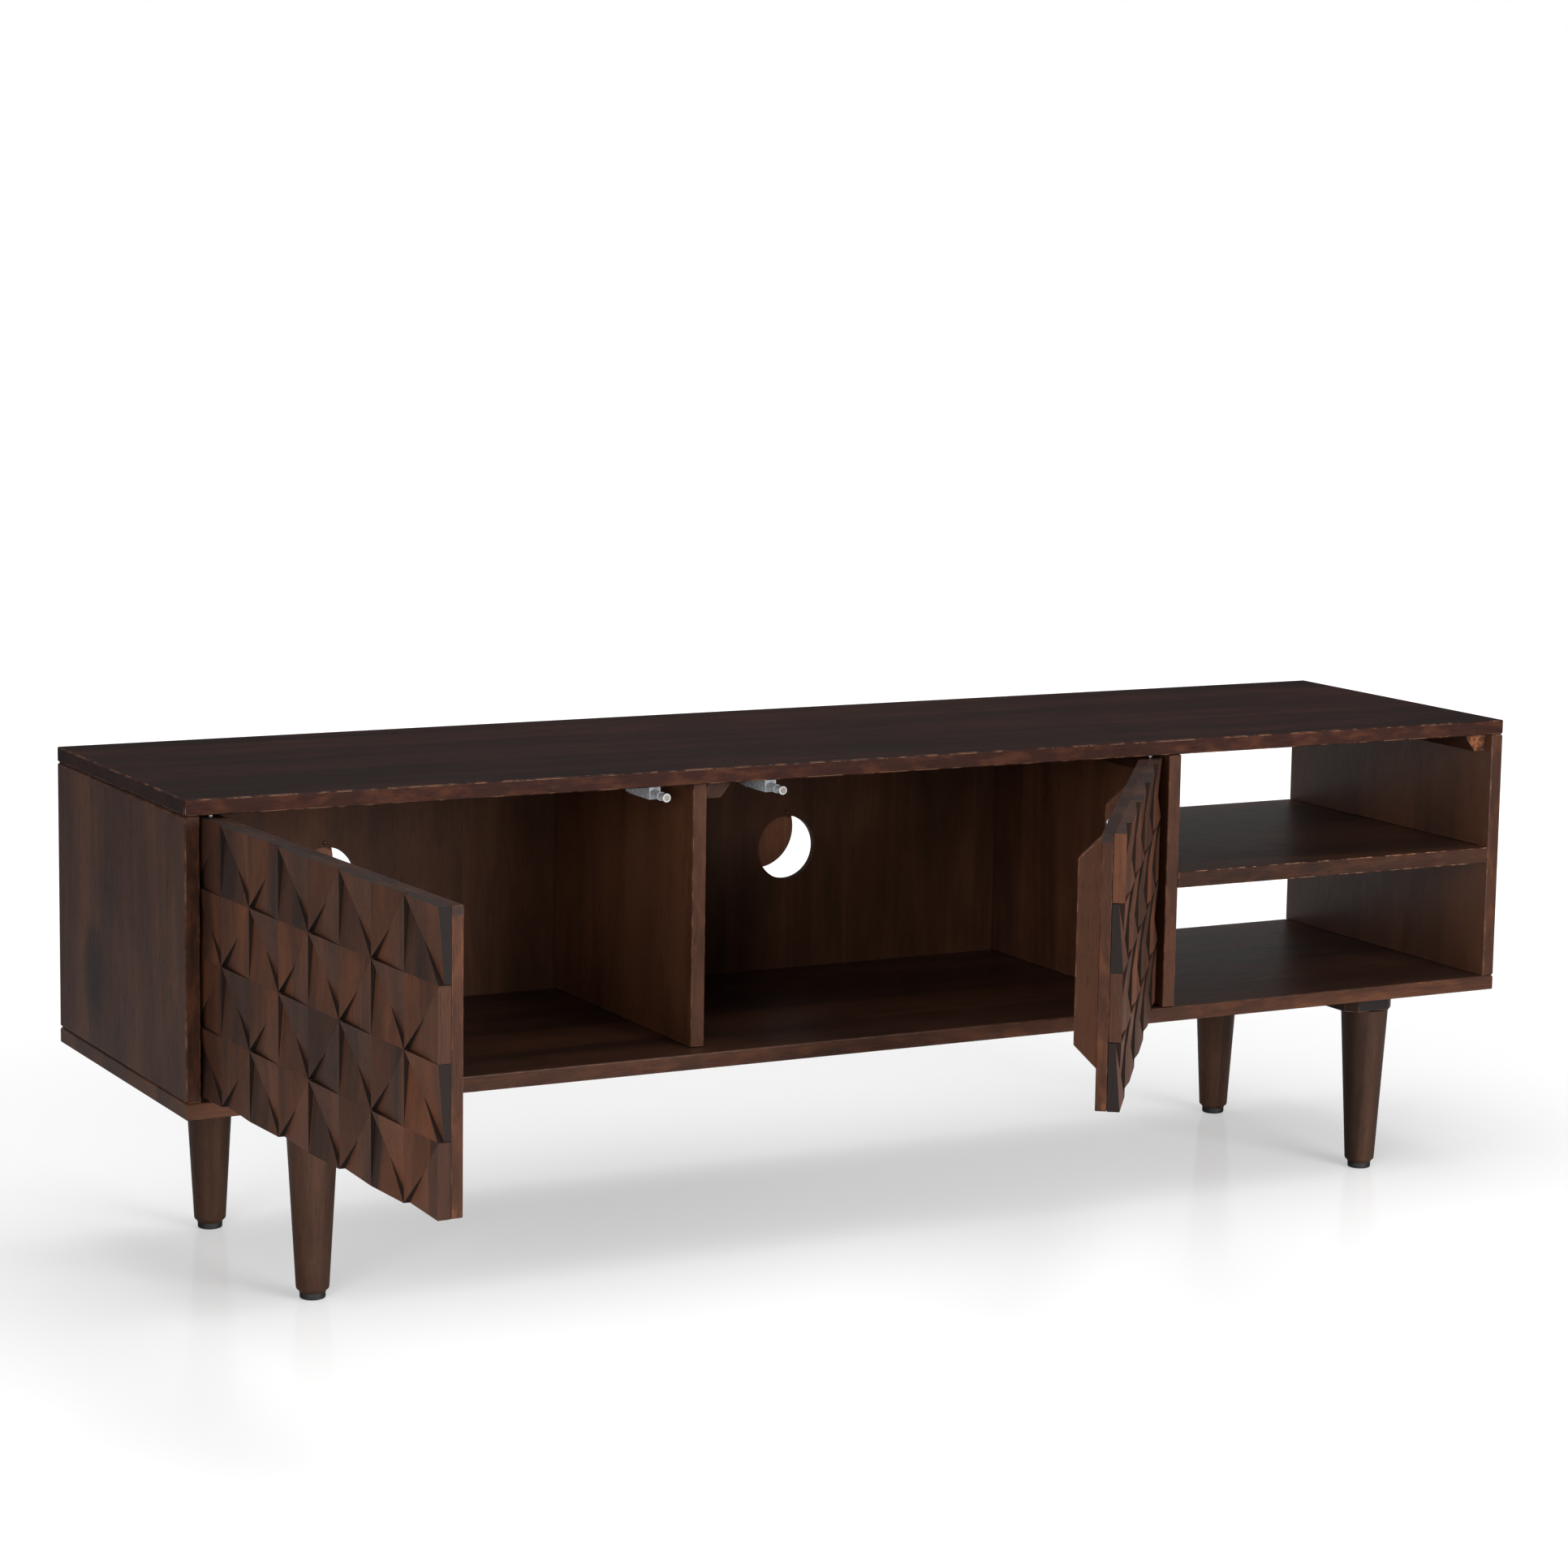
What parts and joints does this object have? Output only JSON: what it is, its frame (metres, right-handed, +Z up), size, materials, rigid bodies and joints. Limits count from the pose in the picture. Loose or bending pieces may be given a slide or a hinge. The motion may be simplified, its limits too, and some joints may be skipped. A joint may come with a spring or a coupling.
{
  "type": "tv stand",
  "caption": "Low stained-wood media cabinet with carved faceted cupboard doors, an open shelved bay, rear cable holes with swivel covers, and tapered round legs.",
  "frame": {"origin": "on the floor, midway across the width, and midway between the tip of the open left door and the back of the case", "axes": "+X to the right along the width, -Y out of the front, +Z up"},
  "size_m": [1.6, 0.9278, 0.526],
  "materials": {
    "stained_wood": "dark walnut stain, satin lacquer",
    "dark_inner_wood": "dark stain, satin lacquer",
    "carved_wood": "carved facets, dark walnut stain, satin lacquer",
    "zinc_steel": "bright zinc plate",
    "clear_plastic": "translucent grey moulding",
    "black_plastic": "black moulding with a fine ribbed rim"
  },
  "bodies": {
    "carcass": {"top_panel": "stained_wood", "bottom_panel": "stained_wood", "side_panel_left": "stained_wood", "side_panel_right": "stained_wood", "divider_centre": "stained_wood", "divider_right": "stained_wood", "open_shelf": "stained_wood", "back_panel": "dark_inner_wood", "cleat_left": "stained_wood", "cleat_centre": "stained_wood", "cleat_divider": "stained_wood", "cleat_right": "stained_wood", "leg_rail_left": "stained_wood", "leg_rail_right": "stained_wood", "leg_front_left": "stained_wood", "leg_front_right": "stained_wood", "leg_back_left": "stained_wood", "leg_back_right": "stained_wood", "glide_front_left": "black_plastic", "glide_front_right": "black_plastic", "glide_back_left": "black_plastic", "glide_back_right": "black_plastic", "leg_bolt_front_left": "zinc_steel", "leg_bolt_front_right": "zinc_steel", "leg_bolt_back_left": "zinc_steel", "leg_bolt_back_right": "zinc_steel", "latch_body_left": "clear_plastic", "latch_screw_left": "zinc_steel", "cover_screw_left": "zinc_steel", "latch_body_middle": "clear_plastic", "latch_screw_middle": "zinc_steel", "cover_screw_middle": "zinc_steel"},
    "left_door": {"door_left_board": "stained_wood", "door_left_strip_1": "carved_wood", "door_left_strip_2": "carved_wood", "door_left_strip_3": "carved_wood", "door_left_strip_4": "carved_wood", "door_left_batten_hinge": "stained_wood", "door_left_batten_free": "stained_wood", "door_left_striker": "zinc_steel", "door_left_pin_top": "zinc_steel", "door_left_pin_bottom": "zinc_steel"},
    "middle_door": {"door_middle_board": "stained_wood", "door_middle_strip_1": "carved_wood", "door_middle_strip_2": "carved_wood", "door_middle_strip_3": "carved_wood", "door_middle_strip_4": "carved_wood", "door_middle_batten_hinge": "stained_wood", "door_middle_batten_free": "stained_wood", "door_middle_striker": "zinc_steel", "door_middle_pin_top": "zinc_steel", "door_middle_pin_bottom": "zinc_steel"},
    "cover_left": {"cable_cover_left": "dark_inner_wood"},
    "cover_middle": {"cable_cover_middle": "dark_inner_wood"},
    "plunger_left": {"plunger_left": "clear_plastic", "plunger_tip_left": "zinc_steel"},
    "plunger_middle": {"plunger_middle": "clear_plastic", "plunger_tip_middle": "zinc_steel"}
  },
  "joints": [
    {"name": "left_door_hinge", "type": "hinge", "parent": "carcass", "child": "left_door", "pos_m": [-0.7685, 0.07888, 0.368], "axis": [0, 0, 1], "range_deg": [-7.6, 87.4]},
    {"name": "middle_door_hinge", "type": "hinge", "parent": "carcass", "child": "middle_door", "pos_m": [0.3219, 0.07888, 0.368], "axis": [0, 0, 1], "range_deg": [-53.2, 41.8]},
    {"name": "left_cover_swivel", "type": "hinge", "parent": "carcass", "child": "cover_left", "pos_m": [-0.5105, 0.44788, 0.4085], "axis": [0, 1, 0], "range_deg": [-60, 60]},
    {"name": "middle_cover_swivel", "type": "hinge", "parent": "carcass", "child": "cover_middle", "pos_m": [0.0578, 0.44788, 0.4085], "axis": [0, 1, 0], "range_deg": [-60, 60]},
    {"name": "left_plunger_slide", "type": "slide", "parent": "carcass", "child": "plunger_left", "axis": [0, 1, 0], "range_m": [0, 0.012], "stiffness_N_per_m": 300},
    {"name": "middle_plunger_slide", "type": "slide", "parent": "carcass", "child": "plunger_middle", "axis": [0, 1, 0], "range_m": [0, 0.012], "stiffness_N_per_m": 300}
  ]
}
